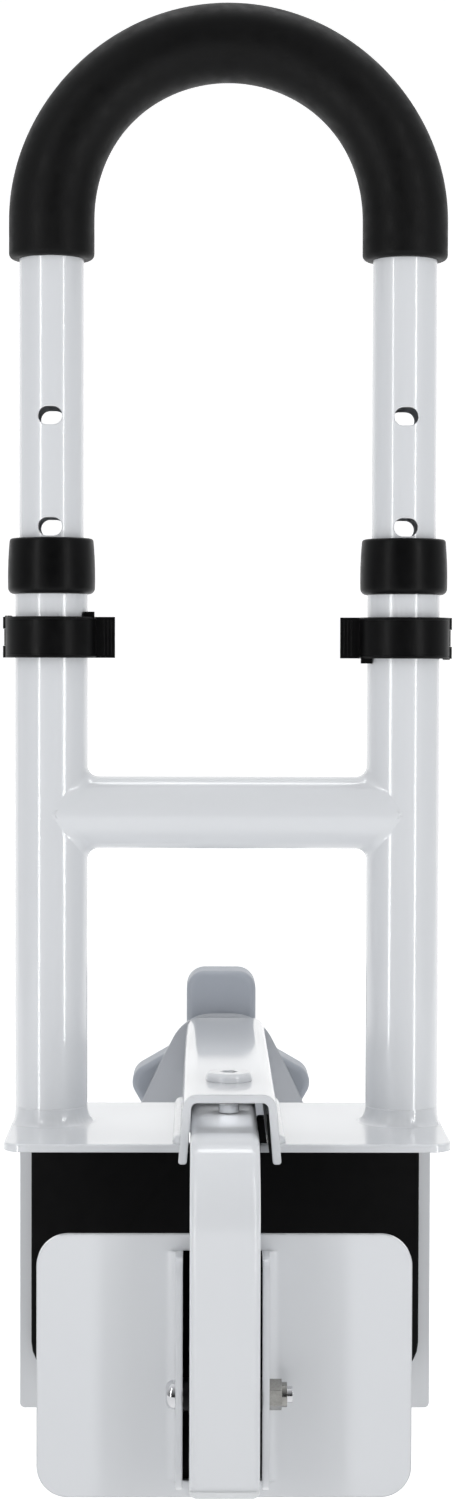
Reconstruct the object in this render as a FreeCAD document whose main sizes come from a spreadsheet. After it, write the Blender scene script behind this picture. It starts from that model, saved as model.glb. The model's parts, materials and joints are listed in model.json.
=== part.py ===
import FreeCAD, Part
import math
import os
import re
import Sketcher

# Clamp-on assist rail: a height-adjustable hoop on two posts, which stand on a screw clamp.
# +Z is up, +X is to the right seen from the arm side, and +Y points from the arm to the knob.
# The origin is on the fixed jaw's rubber face, midway across it and midway down below its notch.
# Each piece is drawn from the middle of the posts' plane, on top of the deck, and then placed.

SIZES = {
    # from the origin to the top of the deck and to the posts' plane
    "deck_top": 65.8, "post_plane": -41,
    # base plate: the deck and the fixed jaw are one bent sheet
    "sheet_thick": 3, "deck_half": 85, "deck_front": 54.5, "deck_rear": 50, "bend_rad": 5,
    "jaw_drop": 127.7, "deck_corner": 8, "jaw_corner": 2, "rim_rad": 0.8,
    "slot_left": 15, "slot_right": 15.4, "gate_right": 12.4, "gate_deep": 4, "slot_drop": 17.5,
    # rubber faces of the jaws, clear of the steel by the rest gap
    "rubber_thick": 6, "rubber_half": 80, "rubber_top": 5.2, "rubber_low": 114,
    "rubber_corner": 15, "notch_left": 15.3, "notch_right": 12.8, "rest_gap": 0.1,
    # posts, crossbar and hoop tube
    "post_across": 69.5, "post_rad": 14.3, "tube_wall": 1.2, "post_tall": 228,
    "bar_up": 122.6, "bar_rad": 14.25, "bar_wall": 1.5,
    "leg_rad": 12.7, "hoop_up": 355.4, "leg_end": 95, "running_gap": 0.05,
    "hole_low": 148.5, "hole_pitch": 43.2, "hole_wide": 9.4, "hole_tall": 7.2,
    "glide_tall": 3, "glide_plug": 12,
    # foam grip
    "grip_rad": 16.4, "grip_end": 340, "grip_gap": 0.1,
    # collars at the posts' tops
    "collar_low": 208.7, "collar_tall": 21.9, "collar_rad": 17.2, "collar_end_rad": 16.3,
    "collar_belly": 4,
    # height lock: saddle behind the post, door in front of it, hinge pin on the outer side
    "lock_up": 191.7, "lock_tall": 16.1, "lock_rad": 18.2, "lock_gap": 0.1,
    "hinge_out": 17, "knuckle_rad": 2.2, "knuckle_tall": 4.7, "mid_knuckle_rad": 1.7,
    "hinge_rad": 0.9, "relief_rad": 2.5, "knuckle_gap": 0.1, "pin_head_rad": 1.5,
    "pin_head_tall": 0.5,
    "tab_out": 25.1, "tab_thick": 4.5, "catch_out": 22.5, "catch_thick": 3,
    "peg_rad": 3.3, "peg_end": 13.05, "bump_wide": 4.3, "bump_tall": 2, "bump_out": 15,
    "bump_front": 8, "bump_back": 4, "catch_inset": 3, "saddle_room": 0.4,
    # weld beads
    "base_bead": 3.6, "base_bead_tall": 7, "bar_bead": 2, "bar_bead_half": 9, "bridge_bead": 3,
    # bridge: an inverted channel on the deck, closed at its rear end by a plate
    "bridge_mid": 0.65, "bridge_top": 22, "bridge_front": 74, "bridge_rear": 147,
    "bridge_half": 17.1, "bridge_splay": 2.1, "bridge_thick": 3.2, "bridge_drop": 4,
    "bridge_round": 5.4, "liner_thick": 1, "liner_top": 14.5, "liner_gap": 0.05,
    "liner_short": 1,
    "end_mid": -0.6, "end_thick": 3, "end_top": 23.6, "end_waist": 2.6, "end_low": 30,
    "end_top_half": 16.5, "end_waist_half": 27.5, "end_low_half": 42.9, "end_shoulder": 20,
    "end_corner": 6,
    # guide bolt through the bridge, over the arm
    "guide_along": -38, "guide_rad": 3.9, "guide_head_rad": 8.9, "guide_head_tall": 3.3,
    "guide_socket": 3, "socket_deep": 2.2, "guide_nut_rad": 7.5, "guide_nut_tall": 5, "guide_gap": 0.3,
    # arm: one square tube with a bend, capped below, with a threaded block in its rear end
    "arm_mid": -1.3, "arm_side": 25.4, "arm_wall": 2, "arm_corner": 3, "arm_up": -3.2,
    "arm_reach": 101.3, "arm_low": 117.5, "arm_rear": 59, "arm_bend": 17.3, "cap_thick": 3,
    "cap_plug": 12, "block_long": 12,
    # screw, its washers, and the knob
    "screw_mid": -1.1, "screw_up": 1, "screw_rad": 5, "screw_tip": 20, "tip_round": 1.2,
    "thread_gap": 0.06,
    "collar_long": 7, "stop_rad": 8.5, "washer_thick": 1.8, "washer_rad": 11,
    "play": 0.1, "knob_rad": 40.9, "lobe_half": 15.65, "lobe_corner": 8.2, "valley_rad": 6,
    "knob_thick": 24, "knob_edge": 3, "hub_rad": 14, "hub_long": 4, "knob_nut_flat": 8.5,
    "knob_nut_tall": 7, "knob_nut_sink": 2,
    # moving jaw
    "plate_mid": -1.3, "plate_half": 69, "plate_high": 27.9, "plate_low": 125.2,
    "plate_thick": 2.6, "plate_corner": 11.5, "plate_gap": 4, "ear_left": 16.5,
    "ear_right": 12.4, "ear_high": 33.8, "ear_low": 119, "ear_long": 16.2, "ear_bend": 4,
    "ear_round": 6, "pad_inset": 4, "pad_corner": 8,
    # pivot of the moving jaw
    "pivot_back": 95.6, "pivot_down": 84.1, "pivot_rad": 3, "pivot_head_rad": 5.3,
    "pivot_head_tall": 3.6, "pivot_nut_flat": 5, "pivot_nut_tall": 6.4, "pivot_spare": 2,
    "spacer_rad": 6, "spacer_gap": 0.1,
}
MATH_WORDS = ("sqrt", "sin", "cos")
TURNS = {
    "X": FreeCAD.Rotation(FreeCAD.Vector(0, 1, 0), 90),
    "Y": FreeCAD.Rotation(FreeCAD.Vector(1, 0, 0), -90),
    "Z": FreeCAD.Rotation(),
}
UPSIDE_DOWN = FreeCAD.Rotation(FreeCAD.Vector(0, 1, 0), 180)
MID = "0"

doc = FreeCAD.newDocument("assist_rail")
vec = FreeCAD.Vector
sheet = doc.addObject("Spreadsheet::Sheet", "Sizes")
for row, (word, value) in enumerate(SIZES.items(), start=1):
    sheet.set(f"A{row}", word)
    sheet.set(f"B{row}", str(value))
    sheet.setAlias(f"B{row}", word)
sums = doc.addObject("Spreadsheet::Sheet", "Sums")
doc.recompute()
sub_parts = []


# ---------------------------------------------------------------- tools for drawing

def sized(formula):
    """The formula as an expression: each word in it is an alias in the sheet."""
    return re.sub(r"[a-z][a-z_]*",
                  lambda found: found.group() if found.group() in MATH_WORDS
                  else "Sizes." + found.group(), str(formula))


def worth(formula):
    """The formula's present value, worked out in a cell of the sums sheet."""
    sums.set("A1", "=" + sized(formula))
    sums.recompute()
    return float(sums.get("A1"))


def bind(thing, **formulas):
    for name, formula in formulas.items():
        thing.setExpression(name, sized(formula))


def put(thing, across, along, up, turn=TURNS["Z"]):
    """Place an object, its three distances bound to the sheet."""
    thing.Placement = FreeCAD.Placement(vec(), turn)
    for letter, formula in zip("xyz", (across, along, up)):
        thing.setExpression(f".Placement.Base.{letter}", sized(formula))


def sub_part(label, thing, across=MID, along=MID, up=MID, turn=TURNS["Z"]):
    """Name a finished piece and place it, given its place from the middle of the deck."""
    thing.Label = label
    put(thing, across, f"post_plane + {along}", f"deck_top + {up}", turn)
    sub_parts.append(thing)
    return thing


def block(name, low, high):
    """A box between two corners."""
    piece = doc.addObject("Part::Box", name)
    bind(piece, **{side: f"({top}) - ({bottom})"
                   for side, bottom, top in zip(("Length", "Width", "Height"), low, high)})
    put(piece, *low)
    return piece


def rod(name, axis, place, start, end, radius):
    """A cylinder along an axis from start to end, at its place on the two other axes."""
    piece = doc.addObject("Part::Cylinder", name)
    bind(piece, Radius=radius, Height=f"({end}) - ({start})")
    spot = list(place)
    spot.insert("XYZ".index(axis), start)
    put(piece, *spot, TURNS[axis])
    return piece


def hexagon(name, axis, place, start, end, half_flat):
    """A six-sided prism along an axis."""
    piece = doc.addObject("Part::Prism", name)
    piece.Polygon = 6
    bind(piece, Circumradius=f"({half_flat}) / cos(30)", Height=f"({end}) - ({start})")
    spot = list(place)
    spot.insert("XYZ".index(axis), start)
    put(piece, *spot, TURNS[axis])
    return piece


def joined(name, *pieces):
    fuse = doc.addObject("Part::MultiFuse", name)
    fuse.Shapes = list(pieces)
    return fuse


def shared(name, *pieces):
    common = doc.addObject("Part::MultiCommon", name)
    common.Shapes = list(pieces)
    return common


def less(name, base, *cutters):
    """The base with the cutters taken away."""
    cut = doc.addObject("Part::Cut", name)
    cut.Base = base
    cut.Tool = cutters[0] if len(cutters) == 1 else joined(name + "_cutters", *cutters)
    return cut


def tube(name, axis, place, start, end, outer, inner):
    return less(name, rod(name + "_outside", axis, place, start, end, outer),
                rod(name + "_bore", axis, place, f"({start}) - 1", f"({end}) + 1", inner))


def along(axis, *tests):
    """A test for straight edges along an axis, whose middle passes the further tests."""
    way = {"X": vec(1, 0, 0), "Y": vec(0, 1, 0), "Z": vec(0, 0, 1)}[axis]

    def passes(edge):
        if not isinstance(edge.Curve, Part.Line) or abs(edge.Curve.Direction.dot(way)) < 0.999:
            return False
        return all(test(edge.CenterOfMass) for test in tests)
    return passes


def near(letter, formula):
    """A test for a point whose coordinate is the formula's value."""
    return lambda point: abs(getattr(point, letter) - worth(formula)) < 0.01


def one_of(letter, values):
    """A test for a point whose coordinate is one of the values."""
    return lambda point: any(abs(getattr(point, letter) - value) < 0.01 for value in values)


def picked(shape, test):
    return [number for number, edge in enumerate(shape.Edges, start=1) if test(edge)]


def rounded(name, base, radius, test):
    """The base with the edges that pass the test rounded."""
    doc.recompute()
    size = worth(radius)
    fillet = doc.addObject("Part::Fillet", name)
    fillet.Base = base
    fillet.Edges = [(number, size, size) for number in picked(base.Shape, test)]
    return fillet


# ---------------------------------------------------------------- tools for bodies

def new_body(name):
    return doc.addObject("PartDesign::Body", name)


def new_sketch(body, name, role, offset):
    """A sketch on one of the body's own planes, moved along the plane's normal."""
    sketch = body.newObject("Sketcher::SketchObject", name)
    plane = next(plane for plane in body.Origin.OriginFeatures if plane.Role == role)
    sketch.AttachmentSupport = [(plane, "")]
    sketch.MapMode = "FlatFace"
    sketch.setExpression(".AttachmentOffset.Base.z", sized(offset))
    return sketch


def hold(sketch, kind, *where, size):
    """Add a dimension and bind it to the sheet."""
    number = sketch.addConstraint(Sketcher.Constraint(kind, *where, worth(size)))
    sketch.setExpression(f"Constraints[{number}]", sized(size))


def outline(body, name, role, offset, corners):
    """A closed outline of straight edges through the corners."""
    sketch = new_sketch(body, name, role, offset)
    points = [vec(worth(across), worth(up), 0) for across, up in corners]
    for start, end in zip(points, points[1:] + points[:1]):
        sketch.addGeometry(Part.LineSegment(start, end), False)
    for number, (across, up) in enumerate(corners):
        before = (number - 1) % len(corners)
        sketch.addConstraint(Sketcher.Constraint("Coincident", before, 2, number, 1))
        hold(sketch, "DistanceX", number, 1, size=across)
        hold(sketch, "DistanceY", number, 1, size=up)
    return sketch


def add_circle(sketch, across, up, radius):
    spot = vec(worth(across), worth(up), 0)
    number = sketch.addGeometry(Part.Circle(spot, vec(0, 0, 1), worth(radius)), False)
    hold(sketch, "DistanceX", number, 3, size=across)
    hold(sketch, "DistanceY", number, 3, size=up)
    hold(sketch, "Radius", number, size=radius)


def add_rounded_square(sketch, across, up, half, corner):
    """A square outline with rounded corners, drawn anticlockwise from its lower edge."""
    middle = vec(worth(across), worth(up), 0)
    reach = worth(half)
    round_rad = worth(corner)
    inner = reach - round_rad
    first = None
    for quarter in range(4):
        turn = math.radians(90 * quarter)
        out = vec(math.sin(turn), -math.cos(turn), 0)
        side = vec(math.cos(turn), math.sin(turn), 0)
        line = Part.LineSegment(middle + out * reach - side * inner,
                                middle + out * reach + side * inner)
        number = sketch.addGeometry(line, False)
        first = number if first is None else first
        circle = Part.Circle(middle + out * inner + side * inner, vec(0, 0, 1), round_rad)
        sketch.addGeometry(Part.ArcOfCircle(circle, turn - math.pi / 2, turn), False)
    for step in range(8):
        after = first + (step + 1) % 8
        sketch.addConstraint(Sketcher.Constraint("Tangent", first + step, 2, after, 1))
    for step, kind in ((0, "Horizontal"), (2, "Vertical"), (4, "Horizontal"), (6, "Vertical")):
        sketch.addConstraint(Sketcher.Constraint(kind, first + step))
    hold(sketch, "Radius", first + 1, size=corner)
    for step in (3, 5, 7):
        sketch.addConstraint(Sketcher.Constraint("Equal", first + 1, first + step))
    hold(sketch, "DistanceY", first, 1, size=f"{up} - {half}")
    hold(sketch, "DistanceX", first + 2, 1, size=f"{across} + {half}")
    hold(sketch, "DistanceY", first + 4, 1, size=f"{up} + {half}")
    hold(sketch, "DistanceX", first + 6, 1, size=f"{across} - {half}")


def feature(body, kind, name, sketch, **settings):
    """A Pad, Pocket, Revolution or other feature of a sketch; text settings are formulas."""
    made = body.newObject("PartDesign::" + kind, name)
    made.Profile = sketch
    for prop, setting in settings.items():
        if isinstance(setting, str):
            made.setExpression(prop, sized(setting))
        else:
            setattr(made, prop, setting)
    return made


def round_off(body, name, base, radius, test):
    """Round the body's edges that pass the test."""
    doc.recompute()
    fillet = body.newObject("PartDesign::Fillet", name)
    fillet.Base = (base, [f"Edge{number}" for number in picked(base.Shape, test)])
    fillet.setExpression("Radius", sized(radius))
    return fillet


def turned(name, corners):
    """A body turned about its own Z axis from an outline of (radius, height) corners."""
    body = new_body(name)
    sketch = outline(body, name + "_outline", "XZ_Plane", "0", corners)
    upright = next(line for line in body.Origin.OriginFeatures if line.Role == "Z_Axis")
    feature(body, "Revolution", name + "_turned", sketch, ReferenceAxis=(upright, [""]),
            Angle=360.0)
    return body


# ---------------------------------------------------------------- hoop, grip and glides

def hoop_path(body, name, end):
    """Two upright legs joined over the top by a half circle."""
    sketch = new_sketch(body, name, "XZ_Plane", "0")
    across, top, low = worth("post_across"), worth("hoop_up"), worth(end)
    sketch.addGeometry(Part.LineSegment(vec(-across, low, 0), vec(-across, top, 0)), False)
    circle = Part.Circle(vec(0, top, 0), vec(0, 0, 1), across)
    sketch.addGeometry(Part.ArcOfCircle(circle, 0, math.pi), False)
    sketch.addGeometry(Part.LineSegment(vec(across, top, 0), vec(across, low, 0)), False)
    sketch.addConstraint(Sketcher.Constraint("Coincident", 0, 2, 1, 2))
    sketch.addConstraint(Sketcher.Constraint("Coincident", 1, 1, 2, 1))
    sketch.addConstraint(Sketcher.Constraint("Vertical", 0))
    sketch.addConstraint(Sketcher.Constraint("Vertical", 2))
    sketch.addConstraint(Sketcher.Constraint("PointOnObject", 1, 3, -2))
    hold(sketch, "DistanceY", 1, 3, size="hoop_up")
    hold(sketch, "Radius", 1, size="post_across")
    hold(sketch, "DistanceY", 0, 2, size="hoop_up")
    hold(sketch, "DistanceY", 2, 1, size="hoop_up")
    hold(sketch, "DistanceY", 0, 1, size=end)
    hold(sketch, "DistanceY", 2, 2, size=end)
    return sketch


def hoop_sweep(name, end, outer, inner):
    """A tube swept round the hoop's path."""
    body = new_body(name)
    path = hoop_path(body, name + "_path", end)
    ring = new_sketch(body, name + "_ring", "XY_Plane", end)
    for radius in (outer, inner):
        add_circle(ring, "-post_across", "0", radius)
    doc.recompute()
    feature(body, "AdditivePipe", name + "_sweep", ring,
            Spine=(path, ["Edge1", "Edge2", "Edge3"]))
    return body


def slot_cutter(name, across, up, start, end):
    """A lock hole's cutter: as wide as the hole, with rounded sides, along Y."""
    half_run = "(hole_wide - hole_tall) / 2"
    ends = [rod(f"{name}_{side}", "Y", (f"{across} {sign} {half_run}", up), start, end,
                "hole_tall / 2") for side, sign in (("near", "-"), ("far", "+"))]
    middle = block(name + "_middle",
                   (f"{across} - {half_run}", start, f"{up} - hole_tall / 2"),
                   (f"{across} + {half_run}", end, f"{up} + hole_tall / 2"))
    return joined(name, middle, *ends)


def make_hoop_tube():
    sweep = hoop_sweep("hoop_sweep", "leg_end", "leg_rad", "leg_rad - tube_wall")
    cutters = [slot_cutter(f"hoop_hole_{side}_{step}", f"{sign}post_across",
                           f"hole_low + {step} * hole_pitch", "-20", "20")
               for side, sign in (("left", "-"), ("right", "")) for step in range(4)]
    sub_part("hoop_tube", less("hoop_tube_drilled", sweep, *cutters))


def make_grip():
    sub_part("foam_grip", hoop_sweep("grip_sweep", "grip_end", "grip_rad",
                                     "leg_rad + grip_gap"))


def make_glide(side, across):
    """A plastic plug in the foot of a hoop leg, which runs in the post."""
    corners = [("0", "-glide_tall"), ("post_rad - tube_wall - running_gap", "-glide_tall"),
               ("post_rad - tube_wall - running_gap", "0"), ("leg_rad - tube_wall", "0"),
               ("leg_rad - tube_wall", "glide_plug"), ("0", "glide_plug")]
    sub_part(f"{side}_leg_glide", turned(f"{side}_glide", corners), across, MID, "leg_end")


# ---------------------------------------------------------------- posts, crossbar, collars

def make_post(side, across):
    pipe = tube(f"{side}_post_pipe", "Z", (MID, MID), "0", "post_tall", "post_rad",
                "post_rad - tube_wall")
    hole = slot_cutter(f"{side}_post_hole", "0", "lock_up", "-20", "0")
    sub_part(f"{side}_post", less(f"{side}_post_drilled", pipe, hole), across)


def make_post_bead(side, across, sign):
    """The weld round a post's foot, cut off at the deck's side edge."""
    bead = doc.addObject("Part::Cone", f"{side}_bead_cone")
    bind(bead, Radius1="post_rad + base_bead", Radius2="post_rad",
         Height="base_bead_tall")
    core = rod(f"{side}_bead_core", "Z", (MID, MID), "-1", "base_bead_tall + 1",
               "post_rad")
    edge = "deck_half - post_across"
    limits = {"-": (f"-({edge})", "30"), "+": ("-30", edge)}[sign]
    within = block(f"{side}_bead_room", (limits[0], "-30", "-1"), (limits[1], "30", "10"))
    ring = less(f"{side}_bead_ring", bead, core)
    sub_part(f"{side}_post_bead", shared(f"{side}_bead_trimmed", ring, within), across)


def make_crossbar():
    """A tube whose ends are shaped to the posts."""
    pipe = tube("bar_pipe", "X", (MID, "bar_up"), "-post_across", "post_across", "bar_rad",
                "bar_rad - bar_wall")
    posts = [rod(f"bar_end_{side}", "Z", (f"{sign}post_across", MID), "bar_up - 30",
                 "bar_up + 30", "post_rad") for side, sign in (("left", "-"), ("right", ""))]
    sub_part("crossbar", less("bar_shaped", pipe, *posts))


def make_bar_bead(side, sign):
    """The welds above and below the crossbar where it meets a post."""
    place = f"{sign}post_across"
    inner = {"-": ("-post_across", "0"), "": ("0", "post_across")}[sign]
    round_bar = rod(f"{side}_weld_bar", "X", (MID, "bar_up"), *inner, "bar_rad + bar_bead")
    round_post = rod(f"{side}_weld_post", "Z", (place, MID), "bar_up - 30", "bar_up + 30",
                     "post_rad + bar_bead")
    middle = block(f"{side}_weld_room", (inner[0], "-bar_bead_half", "bar_up - 30"),
                   (inner[1], "bar_bead_half", "bar_up + 30"))
    both = shared(f"{side}_weld_both", round_bar, round_post, middle)
    bar = rod(f"{side}_weld_bar_out", "X", (MID, "bar_up"), "-post_across", "post_across",
              "bar_rad")
    post = rod(f"{side}_weld_post_out", "Z", (place, MID), "bar_up - 30", "bar_up + 30",
               "post_rad")
    sub_part(f"{side}_bar_beads", less(f"{side}_weld", both, bar, post))


def make_collar(side, across):
    """A barrel-shaped collar: its lip guides the hoop leg and rests on the post's top."""
    seat = "post_tall - collar_low"
    corners = [("post_rad", "0"), ("collar_end_rad", "0"), ("collar_rad", "collar_belly"),
               ("collar_rad", "collar_tall - collar_belly"), ("collar_end_rad", "collar_tall"),
               ("leg_rad + running_gap", "collar_tall"), ("leg_rad + running_gap", seat),
               ("post_rad", seat)]
    sub_part(f"{side}_collar", turned(f"{side}_collar_turned", corners), across, MID,
             "collar_low")


# ---------------------------------------------------------------- height locks

def lock_ring(name, front):
    """Half of the lock's band round the post, in front of it or behind it."""
    half = "lock_tall / 2"
    band = tube(name + "_band", "Z", (MID, MID), f"-{half}", half, "lock_rad",
                "post_rad + running_gap")
    if front:
        room = block(name + "_room", ("-30", "-30", "-10"), ("30", "-lock_gap", "10"))
    else:
        room = block(name + "_room", ("-30", "lock_gap", "-10"), ("30", "30", "10"))
    return shared(name + "_half", band, room)


def knuckle(name, low, high, radius):
    """A hinge knuckle, to be added to a half of the lock before its pin hole is drilled."""
    return rod(name, "Z", ("-hinge_out", MID), low, high, radius)


def finish_lock(label, solid, turn, across):
    """Drill the pin hole and place the piece on its post."""
    hole = rod(label + "_pin_hole", "Z", ("-hinge_out", MID), "-20", "20",
               "hinge_rad + running_gap")
    sub_part(label, less(label + "_drilled", solid, hole), across, MID, "lock_up", turn)


def make_lock(side, across, turn):
    """The saddle, the door with its tab and peg, and the hinge pin between them."""
    half = "lock_tall / 2"
    inner_end = f"{half} - knuckle_tall"
    room = "post_rad + running_gap + saddle_room"

    # saddle: the middle knuckle and the catch that the door's tab snaps on
    ring = less(f"{side}_saddle_ring", lock_ring(f"{side}_saddle", False),
                rod(f"{side}_saddle_relief", "Z", ("-hinge_out", MID), "-10", "10",
                    "relief_rad"))
    bridge = block(f"{side}_saddle_bridge", ("-hinge_out", "0", f"-({inner_end} - knuckle_gap)"),
                   (f"-({room})", "relief_rad + 1", f"{inner_end} - knuckle_gap"))
    web = shared(f"{side}_saddle_web", bridge,
                 tube(f"{side}_saddle_wall", "Z", (MID, MID), f"-{half}", half, "lock_rad",
                      "post_rad + running_gap"))
    catch = block(f"{side}_catch", ("lock_rad - 1", "lock_gap", f"-({half} - catch_inset)"),
                  ("catch_out", "catch_thick", f"{half} - catch_inset"))
    saddle = joined(f"{side}_saddle_solid", ring, web, catch,
                    knuckle(f"{side}_mid_knuckle", f"-({inner_end} - knuckle_gap)",
                            f"{inner_end} - knuckle_gap", "mid_knuckle_rad"))
    finish_lock(f"{side}_lock_saddle", saddle, turn, across)

    # door: two outer knuckles, the finger tab, a bump beside it and the peg in the post's hole
    cleared = less(f"{side}_door_ring", lock_ring(f"{side}_door", True),
                   rod(f"{side}_door_relief", "Z", ("-hinge_out", MID), f"-({inner_end})",
                       inner_end, "relief_rad"))
    knuckles = [knuckle(f"{side}_top_knuckle", inner_end, half, "knuckle_rad"),
                knuckle(f"{side}_low_knuckle", f"-{half}", f"-({inner_end})", "knuckle_rad")]
    tab = block(f"{side}_tab", ("lock_rad - 1", "-tab_thick", f"-{half}"),
                ("tab_out", "-lock_gap", half))
    bump = less(f"{side}_bump",
                block(f"{side}_bump_blank",
                      ("bump_out - bump_wide / 2", "-bump_front", f"{half} - 1"),
                      ("bump_out + bump_wide / 2", "-bump_back", f"{half} + bump_tall")),
                rod(f"{side}_bump_room", "Z", (MID, MID), MID, f"{half} + bump_tall + 1",
                    "post_rad + running_gap"))
    peg = rod(f"{side}_peg", "Y", (MID, MID), "-post_rad - 1", "-peg_end", "peg_rad")
    door = joined(f"{side}_door_solid", cleared, *knuckles, tab, bump, peg)
    finish_lock(f"{side}_lock_door", door, turn, across)

    pin = rod(f"{side}_pin", "Z", ("-hinge_out", MID), f"-{half}", f"{half} + 0.1",
              "hinge_rad")
    head = rod(f"{side}_pin_head", "Z", ("-hinge_out", MID), half, f"{half} + pin_head_tall",
               "pin_head_rad")
    sub_part(f"{side}_hinge_pin", joined(f"{side}_pin_solid", pin, head), across, MID,
             "lock_up", turn)


# ---------------------------------------------------------------- base plate and its rubber

def make_base_plate():
    body = new_body("base_plate_body")
    corners = [("-deck_front", "-sheet_thick"), ("deck_rear - sheet_thick", "-sheet_thick"),
               ("deck_rear - sheet_thick", "-jaw_drop"), ("deck_rear", "-jaw_drop"),
               ("deck_rear", "0"), ("-deck_front", "0")]
    section = outline(body, "base_section", "YZ_Plane", "-deck_half", corners)
    sheet_pad = feature(body, "Pad", "base_sheet", section, Length="2 * deck_half")
    outer = round_off(body, "base_outer_bend", sheet_pad, "bend_rad",
                      along("X", near("y", "deck_rear"), near("z", "0")))
    inner = round_off(body, "base_inner_bend", outer, "bend_rad - sheet_thick",
                      along("X", near("y", "deck_rear - sheet_thick"),
                            near("z", "-sheet_thick")))
    front = round_off(body, "deck_corners", inner, "deck_corner",
                      along("Z", near("y", "-deck_front")))
    round_off(body, "jaw_corners", front, "jaw_corner", along("Y", near("z", "-jaw_drop")))
    doc.recompute()
    slot = outline(body, "arm_slot", "XY_Plane", "1",
                   [("-slot_left", "-deck_front - 1"), ("gate_right", "-deck_front - 1"),
                    ("gate_right", "gate_deep - deck_front"),
                    ("slot_right", "gate_deep - deck_front"), ("slot_right", "deck_rear + 1"),
                    ("-slot_left", "deck_rear + 1")])
    pocket = feature(body, "Pocket", "arm_slot_cut", slot, Length="slot_drop + 1")

    def on_rim(edge):
        return all(abs(point.Point.z) < 0.01 for point in edge.Vertexes)
    round_off(body, "deck_rim", pocket, "rim_rad", on_rim)
    sub_part("base_plate", body)


def make_fixed_rubber():
    body = new_body("fixed_rubber_body")
    shape = outline(body, "fixed_rubber_outline", "XZ_Plane",
                    "-(deck_rear - sheet_thick - rest_gap)",
                    [("-rubber_half", "-rubber_low"), ("rubber_half", "-rubber_low"),
                     ("rubber_half", "-rubber_top"), ("notch_right", "-rubber_top"),
                     ("notch_right", "-slot_drop"), ("-notch_left", "-slot_drop"),
                     ("-notch_left", "-rubber_top"), ("-rubber_half", "-rubber_top")])
    pad = feature(body, "Pad", "fixed_rubber_pad", shape, Length="rubber_thick - rest_gap")
    round_off(body, "fixed_rubber_corners", pad, "rubber_corner",
              along("Y", near("z", "-rubber_low")))
    sub_part("fixed_jaw_rubber", body)


# ---------------------------------------------------------------- bridge and guide bolt

def make_bridge():
    body = new_body("bridge_body")
    low = "-bridge_drop"
    slope = "bridge_splay / (bridge_top + bridge_drop)"
    inner_top = "bridge_half - bridge_thick"
    outer_low = "bridge_half + bridge_splay"
    inner_low = "bridge_half + bridge_splay - bridge_thick"
    under = "bridge_top - bridge_thick"
    corners = [(f"bridge_mid - ({outer_low})", low), (f"bridge_mid - ({inner_low})", low),
               (f"bridge_mid - ({inner_top} + bridge_thick * {slope})", under),
               (f"bridge_mid + ({inner_top} + bridge_thick * {slope})", under),
               (f"bridge_mid + ({inner_low})", low), (f"bridge_mid + ({outer_low})", low),
               ("bridge_mid + bridge_half", "bridge_top"),
               ("bridge_mid - bridge_half", "bridge_top")]
    section = outline(body, "bridge_section", "XZ_Plane", "-bridge_rear", corners)
    channel = feature(body, "Pad", "bridge_channel_pad", section,
                      Length="bridge_rear + bridge_front")
    outer = round_off(body, "bridge_outer_bends", channel, "bridge_round",
                      along("Y", near("z", "bridge_top")))
    inner = round_off(body, "bridge_inner_bends", outer, "bridge_round - bridge_thick",
                      along("Y", near("z", under)))
    round_off(body, "bridge_tips", inner, "bridge_thick * 0.35", along("Y", near("z", low)))
    over_deck = block("bridge_over_deck", ("-40", "-deck_front", "-10"),
                      ("40", "deck_rear", "0"))
    hole = rod("bridge_bolt_hole", "Z", ("bridge_mid", "guide_along"), "0", "30", "guide_rad")
    sub_part("bridge_channel", less("bridge_cut", body, over_deck, hole))


def make_liner():
    """A plastic wear strip on the inside of the bridge's right wall, beside the arm."""
    body = new_body("liner_body")
    slope = "bridge_splay / (bridge_top + bridge_drop)"

    def wall(up, inset):
        return (f"bridge_mid + bridge_half - bridge_thick + (bridge_top - {up}) * {slope}"
                f" - ({inset})")
    shape = outline(body, "liner_outline", "XZ_Plane", "liner_short - bridge_rear",
                    [(wall("0", "liner_gap + liner_thick"), "0"), (wall("0", "liner_gap"), "0"),
                     (wall("liner_top", "liner_gap"), "liner_top"),
                     (wall("liner_top", "liner_gap + liner_thick"), "liner_top")])
    feature(body, "Pad", "liner_pad", shape,
            Length="bridge_rear + bridge_front - 2 * liner_short")
    sub_part("bridge_liner", body)


def make_bridge_bead(side, sign):
    """The weld between the deck and the outside of a bridge wall."""
    body = new_body(f"{side}_bridge_weld")
    slope = "bridge_splay / (bridge_top + bridge_drop)"
    foot = f"(bridge_half + bridge_top * {slope})"
    shape = outline(body, f"{side}_bridge_weld_outline", "XZ_Plane", "bend_rad - deck_rear",
                    [(f"bridge_mid {sign} {foot}", "0"),
                     (f"bridge_mid {sign} ({foot} + bridge_bead)", "0"),
                     (f"bridge_mid {sign} ({foot} - bridge_bead * {slope})", "bridge_bead")])
    feature(body, "Pad", f"{side}_bridge_weld_pad", shape,
            Length="deck_rear + deck_front - bend_rad - 1")
    sub_part(f"{side}_bridge_bead", body)


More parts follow.
